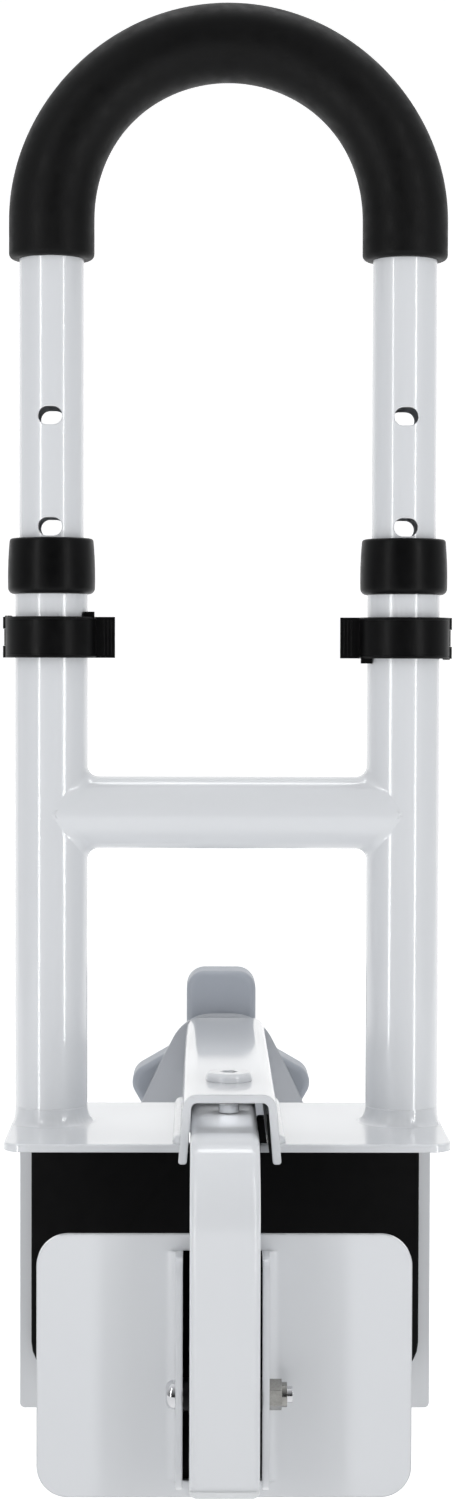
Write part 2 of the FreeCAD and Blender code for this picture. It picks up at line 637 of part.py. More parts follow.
def make_end_plate():
    body = new_body("end_plate_body")
    shape = outline(body, "end_plate_outline", "XZ_Plane", "-(bridge_rear + end_thick)",
                    [("end_mid - end_low_half", "-end_low"),
                     ("end_mid + end_low_half", "-end_low"),
                     ("end_mid + end_waist_half", "end_waist"),
                     ("end_mid + end_top_half", "end_top"),
                     ("end_mid - end_top_half", "end_top"),
                     ("end_mid - end_waist_half", "end_waist")])
    pad = feature(body, "Pad", "end_plate_pad", shape, Length="end_thick")
    shoulders = round_off(body, "end_plate_shoulders", pad, "end_shoulder",
                          along("Y", near("z", "end_top")))
    round_off(body, "end_plate_corners", shoulders, "end_corner",
              along("Y", near("z", "-end_low")))
    hole = rod("end_plate_hole", "Y", ("screw_mid", "screw_up"), "bridge_rear - 5",
               "bridge_rear + 10", "screw_rad + running_gap")
    sub_part("bridge_end_plate", less("end_plate_drilled", body, hole))


def make_guide_bolt():
    """A wide-headed bolt down through the bridge; its shank ends just over the arm."""
    place = ("bridge_mid", "guide_along")
    arm_top = "arm_up + arm_side / 2"
    head_top = "bridge_top + guide_head_tall"
    head = rod("guide_head", "Z", place, "bridge_top", head_top, "guide_head_rad")
    shank = rod("guide_shank", "Z", place, f"{arm_top} + guide_gap", "bridge_top + 1",
                "guide_rad")
    socket = hexagon("guide_socket_cut", "Z", place, f"{head_top} - socket_deep", f"{head_top} + 1",
                     "guide_socket")
    solid = less("guide_bolt_solid", joined("guide_bolt_blank", head, shank), socket)
    top = worth(head_top)

    def on_rim(edge):
        return isinstance(edge.Curve, Part.Circle) and abs(edge.CenterOfMass.z - top) < 0.01
    sub_part("guide_bolt", rounded("guide_bolt_rounded", solid, "guide_head_tall * 0.55", on_rim))
    sub_part("guide_nut", tube("guide_nut_ring", "Z", place,
                               "bridge_top - bridge_thick - guide_nut_tall",
                               "bridge_top - bridge_thick", "guide_nut_rad", "guide_rad"))


# ---------------------------------------------------------------- arm

def make_arm():
    body = new_body("arm_body")
    half = "arm_side / 2"
    path = new_sketch(body, "arm_path", "YZ_Plane", "arm_mid")
    up, reach, bend = worth("arm_up"), worth("arm_reach"), worth("arm_bend")
    rear, low = worth("arm_rear"), -worth("arm_low - cap_thick")
    path.addGeometry(Part.LineSegment(vec(rear, up, 0), vec(bend - reach, up, 0)), False)
    circle = Part.Circle(vec(bend - reach, up - bend, 0), vec(0, 0, 1), bend)
    path.addGeometry(Part.ArcOfCircle(circle, math.pi / 2, math.pi), False)
    path.addGeometry(Part.LineSegment(vec(-reach, up - bend, 0), vec(-reach, low, 0)), False)
    path.addConstraint(Sketcher.Constraint("Tangent", 0, 2, 1, 1))
    path.addConstraint(Sketcher.Constraint("Tangent", 1, 2, 2, 1))
    path.addConstraint(Sketcher.Constraint("Horizontal", 0))
    path.addConstraint(Sketcher.Constraint("Vertical", 2))
    hold(path, "Radius", 1, size="arm_bend")
    hold(path, "DistanceX", 0, 1, size="arm_rear")
    hold(path, "DistanceY", 0, 1, size="arm_up")
    hold(path, "DistanceX", 2, 2, size="-arm_reach")
    hold(path, "DistanceY", 2, 2, size="-(arm_low - cap_thick)")
    square = new_sketch(body, "arm_square", "XZ_Plane", "-arm_rear")
    add_rounded_square(square, "arm_mid", "arm_up", half, "arm_corner")
    add_rounded_square(square, "arm_mid", "arm_up", f"({half} - arm_wall)",
                       "(arm_corner - arm_wall)")
    doc.recompute()
    feature(body, "AdditivePipe", "arm_sweep", square, Spine=(path, ["Edge1", "Edge2", "Edge3"]))
    hole = rod("arm_pivot_hole", "X", ("-pivot_back", "-pivot_down"), "arm_mid - 20",
               "arm_mid + 20", "pivot_rad + running_gap")
    sub_part("arm_tube", less("arm_drilled", body, hole))


def square_bar(name, axis, place, start, end, half, corner):
    """A square bar with rounded long edges, along Y or Z."""
    first, second = place
    if axis == "Y":
        bar = block(name + "_blank", (f"{first} - {half}", start, f"{second} - {half}"),
                    (f"{first} + {half}", end, f"{second} + {half}"))
    else:
        bar = block(name + "_blank", (f"{first} - {half}", f"{second} - {half}", start),
                    (f"{first} + {half}", f"{second} + {half}", end))
    return rounded(name, bar, corner, along(axis))


def make_arm_cap():
    """A plastic cap under the arm, with a plug inside the tube."""
    place = ("arm_mid", "-arm_reach")
    inner = "(arm_side / 2 - arm_wall)"
    foot = "-(arm_low - cap_thick)"
    cap = square_bar("cap_plate", "Z", place, "-arm_low", foot, "arm_side / 2", "arm_corner")
    low = worth("-arm_low")
    soft = rounded("cap_soft", cap, "cap_thick * 0.8",
                   lambda edge: abs(edge.CenterOfMass.z - low) < 0.01)
    plug = square_bar("cap_stem", "Z", place, f"{foot} - 0.5", f"{foot} + cap_plug", inner,
                      "arm_corner - arm_wall")
    sub_part("arm_cap", joined("cap_solid", soft, plug))


def make_arm_block():
    """The threaded block welded in the arm's rear end."""
    inner = "(arm_side / 2 - arm_wall)"
    bar = square_bar("block_bar", "Y", ("arm_mid", "arm_up"), "arm_rear - block_long",
                     "arm_rear", inner, "arm_corner - arm_wall")
    hole = rod("block_hole", "Y", ("screw_mid", "screw_up"), "arm_rear - 30", "arm_rear + 5",
               "screw_rad + thread_gap")
    sub_part("arm_thread_block", less("block_drilled", bar, hole))


# ---------------------------------------------------------------- screw and knob

AXIS_PLACE = ("screw_mid", "screw_up")
PLATE_BACK = "bridge_rear + end_thick"
WASHER_END = f"{PLATE_BACK} + play + washer_thick"
HUB_START = f"{WASHER_END} + play"
KNOB_START = f"{HUB_START} + hub_long"
KNOB_END = f"{KNOB_START} + knob_thick"


def make_screw():
    rod_end = f"{KNOB_END} - 1"
    screw = rod("screw_rod", "Y", AXIS_PLACE, "screw_tip", rod_end, "screw_rad")
    tip = worth("screw_tip")
    sub_part("clamp_screw", rounded("screw_rounded", screw, "tip_round",
                                    lambda edge: abs(edge.CenterOfMass.y - tip) < 0.01
                                    and isinstance(edge.Curve, Part.Circle)))
    sub_part("screw_stop_collar",
             tube("stop_ring", "Y", AXIS_PLACE, "bridge_rear - play - collar_long",
                  "bridge_rear - play", "stop_rad", "screw_rad"))
    sub_part("thrust_washer",
             tube("washer_ring", "Y", AXIS_PLACE, f"{PLATE_BACK} + play", WASHER_END,
                  "washer_rad", "screw_rad + running_gap"))


def make_knob():
    body = new_body("knob_body")
    corners = []
    for arm in range(3):
        angle = 90 + 120 * arm
        across = f"screw_mid + knob_rad * cos({angle})"
        up = f"screw_up + knob_rad * sin({angle})"
        corners.append((f"{across} + lobe_half * sin({angle})",
                        f"{up} - lobe_half * cos({angle})"))
        corners.append((f"{across} - lobe_half * sin({angle})",
                        f"{up} + lobe_half * cos({angle})"))
        valley = angle + 60
        corners.append((f"screw_mid + lobe_half / cos(30) * cos({valley})",
                        f"screw_up + lobe_half / cos(30) * sin({valley})"))
    shape = outline(body, "knob_outline", "XZ_Plane", f"-({KNOB_END})", corners)
    pad = feature(body, "Pad", "knob_pad", shape, Length="knob_thick")
    middle = vec(worth("screw_mid"), 0, worth("screw_up"))
    divide = worth("knob_rad - 10")

    def reach(point):
        return (point.x - middle.x) ** 2 + (point.z - middle.z) ** 2 > divide ** 2
    tips = round_off(body, "knob_tips", pad, "lobe_corner", along("Y", reach))
    valleys = round_off(body, "knob_valleys", tips, "valley_rad",
                        along("Y", lambda point: (point.x - middle.x) ** 2
                              + (point.z - middle.z) ** 2 < 20 ** 2))
    faces = (worth(KNOB_START), worth(KNOB_END))
    round_off(body, "knob_edges", valleys, "knob_edge",
              lambda edge: any(abs(edge.CenterOfMass.y - face) < 0.01 for face in faces))
    hub = rod("knob_hub", "Y", AXIS_PLACE, HUB_START, f"{KNOB_START} + 1", "hub_rad")
    bore = rod("knob_bore", "Y", AXIS_PLACE, f"{HUB_START} - 1", f"{KNOB_END} + 1",
               "screw_rad")
    recess = rod("knob_recess", "Y", AXIS_PLACE, f"{KNOB_END} - knob_nut_tall - knob_nut_sink",
                 f"{KNOB_END} + 1", "knob_nut_flat / cos(30) + 1")
    sub_part("knob", less("knob_bored", joined("knob_solid", body, hub), bore, recess))
    nut = hexagon("knob_nut_blank", "Y", AXIS_PLACE, f"{KNOB_END} - knob_nut_tall - knob_nut_sink",
                  f"{KNOB_END} - knob_nut_sink", "knob_nut_flat")
    nut_bore = rod("knob_nut_bore", "Y", AXIS_PLACE, f"{KNOB_END} - 20", f"{KNOB_END} + 1",
                   "screw_rad")
    sub_part("knob_nut", less("knob_nut_bored", nut, nut_bore))


# ---------------------------------------------------------------- moving jaw and its pivot

PLATE_FRONT = "(arm_reach - arm_side / 2 - plate_gap)"


def make_jaw_plate():
    body = new_body("jaw_plate_body")
    left, right = "plate_mid - plate_half", "plate_mid + plate_half"
    back = f"{PLATE_FRONT} - plate_thick"
    shape = outline(body, "jaw_plate_outline", "XZ_Plane", back,
                    [(left, "-plate_low"), (right, "-plate_low"), (right, "-plate_high"),
                     (left, "-plate_high")])
    pad = feature(body, "Pad", "jaw_plate_pad", shape, Length="plate_thick")
    corners = round_off(body, "jaw_plate_corners", pad, "plate_corner", along("Y"))
    doc.recompute()
    window = outline(body, "jaw_window", "XZ_Plane", f"{back} + plate_thick + 1",
                     [("-ear_left", "-ear_low"), ("ear_right", "-ear_low"),
                      ("ear_right", "-ear_high"), ("-ear_left", "-ear_high")])
    opened = feature(body, "Pocket", "jaw_window_cut", window, Length="plate_thick + 2")
    start = f"-({PLATE_FRONT} + ear_long)"
    ears = opened
    for side, offset in (("left", "-ear_left - plate_thick"), ("right", "ear_right")):
        ear = outline(body, f"ear_{side}", "YZ_Plane", offset,
                      [(start, "-ear_low"), (f"plate_thick - {PLATE_FRONT}", "-ear_low"),
                       (f"plate_thick - {PLATE_FRONT}", "-ear_high"), (start, "-ear_high")])
        ears = feature(body, "Pad", f"ear_{side}_pad", ear, Length="plate_thick")
    ends = round_off(body, "ear_ends", ears, "ear_round", along("X", near("y", start)))
    outer = (worth("-ear_left - plate_thick"), worth("ear_right + plate_thick"))
    inner = (worth("-ear_left"), worth("ear_right"))
    roots = round_off(body, "ear_inner_bends", ends, "ear_bend",
                      along("Z", near("y", f"-{PLATE_FRONT}"), one_of("x", outer)))
    round_off(body, "ear_outer_bends", roots, "ear_bend / 2",
              along("Z", near("y", f"plate_thick - {PLATE_FRONT}"), one_of("x", inner)))
    hole = rod("jaw_pivot_hole", "X", ("-pivot_back", "-pivot_down"), "-40", "40",
               "pivot_rad + running_gap")
    sub_part("jaw_plate", less("jaw_plate_drilled", body, hole))


def make_jaw_rubber():
    body = new_body("jaw_rubber_body")
    reach = "plate_half - pad_inset"
    shape = outline(body, "jaw_rubber_outline", "XZ_Plane",
                    f"{PLATE_FRONT} - plate_thick - rubber_thick",
                    [(f"plate_mid - ({reach})", "pad_inset - plate_low"),
                     (f"plate_mid + {reach}", "pad_inset - plate_low"),
                     (f"plate_mid + {reach}", "-plate_high - pad_inset"),
                     (f"plate_mid - ({reach})", "-plate_high - pad_inset")])
    pad = feature(body, "Pad", "jaw_rubber_pad", shape, Length="rubber_thick - rest_gap")
    round_off(body, "jaw_rubber_corners", pad, "pad_corner", along("Y"))
    sub_part("moving_jaw_rubber", body)


def make_pivot():
    """The bolt through the ears and the arm, its lock nut, and the spacers beside the arm."""
    place = ("-pivot_back", "-pivot_down")
    left = "(-ear_left - plate_thick)"
    right = "(ear_right + plate_thick)"
    shank = rod("pivot_shank", "X", place, f"{left} - 1",
                f"{right} + pivot_nut_tall + pivot_spare", "pivot_rad")
    head = rod("pivot_head", "X", place, f"{left} - pivot_head_tall", left, "pivot_head_rad")
    rim = worth(f"{left} - pivot_head_tall")
    dome = rounded("pivot_dome", head, "pivot_head_tall * 0.85",
                   lambda edge: abs(edge.CenterOfMass.x - rim) < 0.01)
    sub_part("pivot_bolt", joined("pivot_bolt_solid", shank, dome))
    hexed = hexagon("pivot_hex", "X", place, right, f"{right} + pivot_nut_tall * 0.7",
                    "pivot_nut_flat")
    crown = rod("pivot_crown", "X", place, right, f"{right} + pivot_nut_tall",
                "pivot_nut_flat * 0.9")
    bore = rod("pivot_nut_bore", "X", place, f"{right} - 1", f"{right} + pivot_nut_tall + 1",
               "pivot_rad")
    sub_part("pivot_nut", less("pivot_nut_solid", joined("pivot_nut_blank", hexed, crown), bore))
    arm_left, arm_right = "arm_mid - arm_side / 2", "arm_mid + arm_side / 2"
    sub_part("left_pivot_spacer",
             tube("left_spacer_ring", "X", place, "-ear_left + spacer_gap", arm_left,
                  "spacer_rad", "pivot_rad"))
    sub_part("right_pivot_spacer",
             tube("right_spacer_ring", "X", place, arm_right, "ear_right - spacer_gap",
                  "spacer_rad", "pivot_rad"))


# ---------------------------------------------------------------- the whole rail

make_hoop_tube()
make_grip()
for side, sign, turn in (("left", "-", TURNS["Z"]), ("right", "", UPSIDE_DOWN)):
    place = sign + "post_across"
    make_glide(side, place)
    make_post(side, place)
    make_post_bead(side, place, sign or "+")
    make_bar_bead(side, sign)
    make_collar(side, place)
    make_lock(side, place, turn)
    make_bridge_bead(side, sign or "+")
make_crossbar()
make_base_plate()
make_fixed_rubber()
make_bridge()
make_liner()
make_end_plate()
make_guide_bolt()
make_arm()
make_arm_cap()
make_arm_block()
make_screw()
make_knob()
make_jaw_plate()
make_jaw_rubber()
make_pivot()
doc.recompute()

for thing in doc.Objects:
    if "Invalid" in thing.State or "Error" in thing.State:
        raise RuntimeError(f"{thing.Name} failed: {thing.State}")
os.makedirs("parts", exist_ok=True)
for piece in sub_parts:
    shape = piece.Shape
    if shape.isNull() or not shape.isValid():
        raise RuntimeError(f"{piece.Label} has no valid shape")
    shape.exportStep(f"parts/{piece.Label}.step")
    print(f"{piece.Label}: {len(shape.Solids)} solids, {shape.Volume / 1000:.2f} cm3")
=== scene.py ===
import json
import math

import bmesh
import bpy
from mathutils import Matrix, Vector


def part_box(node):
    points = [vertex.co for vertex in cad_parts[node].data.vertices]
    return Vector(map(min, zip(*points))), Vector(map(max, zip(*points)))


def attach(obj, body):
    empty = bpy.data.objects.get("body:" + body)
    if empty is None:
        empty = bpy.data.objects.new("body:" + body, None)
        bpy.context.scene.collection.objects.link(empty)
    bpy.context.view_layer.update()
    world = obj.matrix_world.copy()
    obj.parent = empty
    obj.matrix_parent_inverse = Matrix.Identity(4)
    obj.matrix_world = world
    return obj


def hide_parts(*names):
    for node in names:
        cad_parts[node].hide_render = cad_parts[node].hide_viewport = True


# Clamp-on assist rail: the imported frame, its finishes, and the soft and fine pieces built on it.
# Distances are in metres in the frame's own axes: +Z up, +X right, +Y from the arm to the knob.

MM = 0.001
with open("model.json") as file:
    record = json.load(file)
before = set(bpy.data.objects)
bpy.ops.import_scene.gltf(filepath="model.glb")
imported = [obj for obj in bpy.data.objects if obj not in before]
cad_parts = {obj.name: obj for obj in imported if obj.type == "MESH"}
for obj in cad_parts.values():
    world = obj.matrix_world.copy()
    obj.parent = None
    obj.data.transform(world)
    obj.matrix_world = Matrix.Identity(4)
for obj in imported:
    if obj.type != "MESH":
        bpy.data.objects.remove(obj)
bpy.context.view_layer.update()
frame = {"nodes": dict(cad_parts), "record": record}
NODES = frame["nodes"]


# ---------------------------------------------------------------- places read from the frame

def span(node):
    low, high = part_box(node)
    return Vector(low), Vector(high)


def middle(node):
    low, high = span(node)
    return (low + high) / 2


HOOP_LOW, HOOP_HIGH = span("hoop_tube")
LEG_RADIUS = (HOOP_HIGH.y - HOOP_LOW.y) / 2
POST_X = HOOP_HIGH.x - LEG_RADIUS
POST_Y = (HOOP_LOW.y + HOOP_HIGH.y) / 2
ARCH_Z = HOOP_HIGH.z - POST_X - LEG_RADIUS
DECK_TOP = span("base_plate")[1].z
POST_RADIUS = (span("left_post")[1].y - span("left_post")[0].y) / 2
BAR_CENTRE = middle("crossbar")
BAR_RADIUS = (span("crossbar")[1].z - span("crossbar")[0].z) / 2


# ---------------------------------------------------------------- node materials

class Finish:
    """A procedural material on one principled shader, with a few helpers to build its detail."""

    def __init__(self, name, colour, roughness, metallic=0.0, coat=0.0, specular=0.5):
        self.material = bpy.data.materials.new(name)
        self.material.use_nodes = True
        self.tree = self.material.node_tree
        self.shader = self.tree.nodes["Principled BSDF"]
        self.place = self.node("ShaderNodeTexCoord").outputs["Object"]
        self.colour = colour
        self.shader.inputs["Base Color"].default_value = (*colour, 1)
        self.shader.inputs["Roughness"].default_value = roughness
        self.shader.inputs["Metallic"].default_value = metallic
        self.shader.inputs["Coat Weight"].default_value = coat
        self.shader.inputs["Coat Roughness"].default_value = 0.08
        self.shader.inputs["Specular IOR Level"].default_value = specular
        self.normal = None

    def node(self, kind, **settings):
        made = self.tree.nodes.new(kind)
        for name, value in settings.items():
            setattr(made, name, value)
        return made

    def link(self, source, target):
        self.tree.links.new(source, target)

    def noise(self, size, detail=3.0, stretch=None):
        """Noise whose features are about the given size, in metres."""
        texture = self.node("ShaderNodeTexNoise")
        texture.inputs["Scale"].default_value = 1 / size
        texture.inputs["Detail"].default_value = detail
        source = self.place
        if stretch:
            mapping = self.node("ShaderNodeMapping")
            mapping.inputs["Scale"].default_value = stretch
            self.link(source, mapping.inputs["Vector"])
            source = mapping.outputs["Vector"]
        self.link(source, texture.inputs["Vector"])
        return texture.outputs["Fac"]

    def cells(self, size):
        """Distance to the nearest of scattered points about the given size apart."""
        texture = self.node("ShaderNodeTexVoronoi")
        texture.inputs["Scale"].default_value = 1 / size
        self.link(self.place, texture.inputs["Vector"])
        return texture.outputs["Distance"]

    def spread(self, source, low, high):
        """Map a 0.3 to 0.7 signal, which is where noise mostly lies, to a range."""
        ramp = self.node("ShaderNodeMapRange")
        ramp.inputs["From Min"].default_value = 0.3
        ramp.inputs["From Max"].default_value = 0.7
        ramp.inputs["To Min"].default_value = low
        ramp.inputs["To Max"].default_value = high
        self.link(source, ramp.inputs["Value"])
        return ramp.outputs["Result"]

    def vary_colour(self, source, other):
        """Mix towards another colour where the signal is high."""
        mix = self.node("ShaderNodeMix", data_type="RGBA")
        mix.inputs["A"].default_value = (*self.colour, 1)
        mix.inputs["B"].default_value = (*other, 1)
        self.link(self.spread(source, 0, 1), mix.inputs["Factor"])
        self.link(mix.outputs["Result"], self.shader.inputs["Base Color"])

    def vary_roughness(self, source, low, high):
        self.link(self.spread(source, low, high), self.shader.inputs["Roughness"])

    def bump(self, source, height, strength=1.0):
        """Raise the surface by up to the height, in metres, on top of earlier bumps."""
        bump = self.node("ShaderNodeBump")
        bump.inputs["Distance"].default_value = height
        bump.inputs["Strength"].default_value = strength
        self.link(source, bump.inputs["Height"])
        if self.normal:
            self.link(self.normal, bump.inputs["Normal"])
        self.normal = bump.outputs["Normal"]
        self.link(self.normal, self.shader.inputs["Normal"])

    def soft_edges(self, radius):
        """Round sharp edges by a small radius, as paint or moulding does."""
        bevel = self.node("ShaderNodeBevel", samples=8)
        bevel.inputs["Radius"].default_value = radius
        self.normal = bevel.outputs["Normal"]
        self.link(self.normal, self.shader.inputs["Normal"])


def white_coat(name="white_coat", edge=0.7 * MM):
    """Glossy white powder coat with a faint orange peel."""
    finish = Finish(name, (0.69, 0.705, 0.728), 0.3, coat=0.9)
    finish.soft_edges(edge)
    finish.vary_colour(finish.noise(60 * MM, detail=1.0), (0.68, 0.695, 0.72))
    finish.vary_roughness(finish.noise(40 * MM, detail=1.0), 0.28, 0.32)
    finish.bump(finish.noise(1.4 * MM, detail=0.0), 0.0012 * MM)
    return finish.material


def black_foam():
    """Moulded foam skin: fine pores and a faint cloudiness."""
    finish = Finish("black_foam", (0.0025, 0.0025, 0.0026), 0.5, specular=0.16)
    finish.vary_colour(finish.noise(9 * MM), (0.0036, 0.0036, 0.0038))
    finish.vary_roughness(finish.noise(5 * MM), 0.42, 0.58)
    finish.bump(finish.cells(0.55 * MM), 0.03 * MM, 0.6)
    finish.bump(finish.noise(2.5 * MM), 0.04 * MM, 0.5)
    return finish.material


def black_rubber():
    finish = Finish("black_rubber", (0.0016, 0.0016, 0.0018), 0.6, specular=0.09)
    finish.soft_edges(0.8 * MM)
    finish.vary_colour(finish.noise(20 * MM), (0.0024, 0.0024, 0.0026))
    finish.vary_roughness(finish.noise(7 * MM), 0.52, 0.68)
    finish.bump(finish.noise(0.5 * MM), 0.02 * MM, 0.6)
    return finish.material


def black_plastic():
    """Moulded nylon with a light spark-eroded grain."""
    finish = Finish("black_plastic", (0.0016, 0.0016, 0.0018), 0.36, specular=0.14)
    finish.soft_edges(0.4 * MM)
    finish.vary_colour(finish.noise(12 * MM), (0.0024, 0.0024, 0.0026))
    finish.vary_roughness(finish.noise(4 * MM), 0.32, 0.42)
    finish.bump(finish.noise(0.35 * MM), 0.006 * MM, 0.6)
    return finish.material


def grey_coat():
    """The end plate's grey paint, darker than the white coat: painted shade for the shadow the
    plate sits in behind the bridge.
    """
    finish = Finish("grey_coat", (0.46, 0.475, 0.505), 0.4, coat=0.3)
    finish.soft_edges(0.8 * MM)
    finish.vary_colour(finish.noise(30 * MM, detail=1.0), (0.44, 0.455, 0.485))
    finish.vary_roughness(finish.noise(20 * MM, detail=1.0), 0.36, 0.44)
    finish.bump(finish.noise(1.4 * MM, detail=0.0), 0.0012 * MM)
    return finish.material


def white_plastic():
    finish = Finish("white_plastic", (0.71, 0.725, 0.74), 0.38, specular=0.5)
    finish.soft_edges(0.4 * MM)
    finish.vary_colour(finish.noise(15 * MM), (0.68, 0.695, 0.71))
    finish.vary_roughness(finish.noise(4 * MM), 0.32, 0.45)
    finish.bump(finish.noise(0.35 * MM), 0.006 * MM, 0.5)
    return finish.material


def grey_plastic():
    """Blue-grey moulded plastic."""
    finish = Finish("grey_plastic", (0.36, 0.385, 0.43), 0.42, specular=0.5)
    finish.soft_edges(0.5 * MM)
    finish.vary_colour(finish.noise(22 * MM), (0.34, 0.365, 0.41))
    finish.vary_roughness(finish.noise(5 * MM), 0.36, 0.48)
    finish.bump(finish.noise(0.4 * MM), 0.008 * MM, 0.6)
    return finish.material


def bright_zinc():
    """Zinc plate: a satin metal with turning marks."""
    finish = Finish("bright_zinc", (0.40, 0.395, 0.375), 0.2, metallic=1.0)
    finish.soft_edges(0.25 * MM)
    finish.vary_colour(finish.noise(3 * MM), (0.33, 0.325, 0.31))
    finish.vary_roughness(finish.noise(1.2 * MM), 0.14, 0.26)
    finish.bump(finish.noise(0.9 * MM), 0.02 * MM, 0.6)
    return finish.material


def chrome_steel():
    finish = Finish("chrome_steel", (0.72, 0.72, 0.74), 0.1, metallic=1.0)
    finish.soft_edges(0.2 * MM)
    finish.vary_roughness(finish.noise(2 * MM), 0.06, 0.14)
    finish.bump(finish.noise(3 * MM), 0.004 * MM, 0.5)
    return finish.material


MATERIALS = {make.__name__: make() for make in (
    white_coat, grey_coat, black_foam, black_rubber, black_plastic, white_plastic,
    grey_plastic, bright_zinc, chrome_steel)}

# The width of the soft edges on the nodes where it isn't the white coat's own.
ROUNDER = {"arm_tube": 4 * MM, "jaw_plate": 1.5 * MM, "bridge_channel": 1.2 * MM}


def finish_cad_nodes():
    """Give every CAD node the material of its slot, with wider edges where paint lies thick."""
    for row in frame["record"]["subparts"]:
        name = row["node"]
        material = MATERIALS[row["material_slot"]]
        if name in ROUNDER:
            material = white_coat(f"{name}_coat", ROUNDER[name])
        NODES[name].data.materials.clear()
        NODES[name].data.materials.append(material)


# ---------------------------------------------------------------- mesh tools

SHARP_FROM = 50    # in degrees between two faces


def add_object(name, data):
    """A new object in the scene for a mesh, a light or a camera."""
    made = bpy.data.objects.new(name, data)
    bpy.context.scene.collection.objects.link(made)
    return made


def piece(name, points, faces, body, slot, replaced=()):
    """A mesh piece that rides on a body and takes a slot's material."""
    mesh = bpy.data.meshes.new(name)
    mesh.from_pydata([tuple(point) for point in points], [], faces)
    mesh.validate()
    work = bmesh.new()
    work.from_mesh(mesh)
    bmesh.ops.recalc_face_normals(work, faces=work.faces)
    work.to_mesh(mesh)
    work.free()
    for face in mesh.polygons:
        face.use_smooth = True
    mesh.set_sharp_from_angle(angle=math.radians(SHARP_FROM))
    mesh.materials.append(MATERIALS[slot])
    made = add_object(name, mesh)
    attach(made, body)
    if replaced:
        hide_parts(*replaced)
    return made


def skin(rings, closed=False, loop=True):
    """Faces between successive rings of equal length."""
    count = len(rings[0])
    points = [point for ring in rings for point in ring]
    faces = []
    steps = len(rings) if closed else len(rings) - 1
    across = count if loop else count - 1
    for step in range(steps):
        here, there = step * count, (step + 1) % len(rings) * count
        for side in range(across):
            after = (side + 1) % count
            faces.append((here + side, here + after, there + after, there + side))
    return points, faces


def end_caps(count, total):
    """Faces that close the first and last rings of a skin."""
    return [tuple(range(count)), tuple(range(total - count, total))]


# ---------------------------------------------------------------- hoop tube

ROUND_FACE = 0.8    # least agreement of a face with the tube's own round wall


def hoop_centre(at):
    """The nearest point on the hoop's centre line: two straight legs and a half circle."""
    if at.z < ARCH_Z:
        return Vector((math.copysign(POST_X, at.x), POST_Y, at.z))
    out = Vector((at.x, 0, at.z - ARCH_Z)).normalized()
    return Vector((0, POST_Y, ARCH_Z)) + out * POST_X


def make_hoop_shell():
    """The hoop's tube with exact shading normals, so that a thin light runs true along it."""
    source = NODES["hoop_tube"].data
    mesh = bpy.data.meshes.new("hoop_shell")
    mesh.from_pydata([point.co for point in source.vertices], [],
                     [tuple(face.vertices) for face in source.polygons])
    normals = []
    for face in mesh.polygons:
        face.use_smooth = True
        for corner in face.vertices:
            at = mesh.vertices[corner].co
            way = (at - hoop_centre(at)).normalized()
            facing = way.dot(face.normal)
            normals.append(way * math.copysign(1, facing) if abs(facing) > ROUND_FACE
                           else face.normal.copy())
    mesh.normals_split_custom_set(normals)
    mesh.materials.append(MATERIALS["white_coat"])
    shell = add_object("hoop_shell", mesh)
    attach(shell, "hoop")
    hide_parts("hoop_tube")


# ---------------------------------------------------------------- foam grip

GRIP_LEG_HALF = 16.8 * MM
GRIP_TOP_HALF = 15.3 * MM
GRIP_DEPTH_HALF = 16.4 * MM
GRIP_END_ROUND = 2.2 * MM
GRIP_SIDES, GRIP_STEPS, BORE_STEPS = 56, 120, 40
CLEARANCE = 0.05 * MM


def smooth(value):
    value = min(max(value, 0.0), 1.0)
    return value * value * (3 - 2 * value)


def make_grip():
    """A thick foam sleeve round the hoop, thinner over the top of the bend."""
    low = span("foam_grip")[0].z
    leg = ARCH_Z - low
    arc = math.pi * POST_X
    length = 2 * leg + arc

    def station(along):
        """Centre, outward direction and width factor at a distance along the sleeve."""
        if along < leg:
            return Vector((-POST_X, POST_Y, low + along)), Vector((-1, 0, 0)), 0.0
        if along > leg + arc:
            return Vector((POST_X, POST_Y, low + length - along)), Vector((1, 0, 0)), 0.0
        angle = math.pi - (along - leg) / POST_X
        out = Vector((math.cos(angle), 0, math.sin(angle)))
        return Vector((0, POST_Y, ARCH_Z)) + out * POST_X, out, smooth(math.sin(angle) * 1.1)

    def ring(along, shrink=0.0, bore=None):
        centre, out, bend = station(along)
        across = bore or GRIP_LEG_HALF + (GRIP_TOP_HALF - GRIP_LEG_HALF) * bend - shrink
        deep = bore or GRIP_DEPTH_HALF - shrink
        turns = (2 * math.pi * side / GRIP_SIDES for side in range(GRIP_SIDES))
        return [centre + out * across * math.cos(turn)
                + Vector((0, 1, 0)) * deep * math.sin(turn) for turn in turns]

    bore = LEG_RADIUS + CLEARANCE
    rounding = [(GRIP_END_ROUND * (1 - math.cos(turn)), GRIP_END_ROUND * (1 - math.sin(turn)))
                for turn in (math.pi / 2 * part / 5 for part in range(6))]
    rings = [ring(0, bore=bore)]
    rings += [ring(along, shrink) for along, shrink in rounding]
    run = length - 2 * GRIP_END_ROUND
    rings += [ring(GRIP_END_ROUND + run * step / GRIP_STEPS) for step in range(1, GRIP_STEPS)]
    rings += [ring(length - along, shrink) for along, shrink in reversed(rounding)]
    rings.append(ring(length, bore=bore))
    rings += [ring(length - length * step / BORE_STEPS, bore=bore)
              for step in range(1, BORE_STEPS)]
    points, faces = skin(rings, closed=True)
    grip = piece("grip_sleeve", points, faces, "hoop", "black_foam", ["foam_grip"])


# ---------------------------------------------------------------- beads and fillets

RIPPLE = 2.2 * MM    # length of one ripple of a weld
BEAD_SIDES = 14


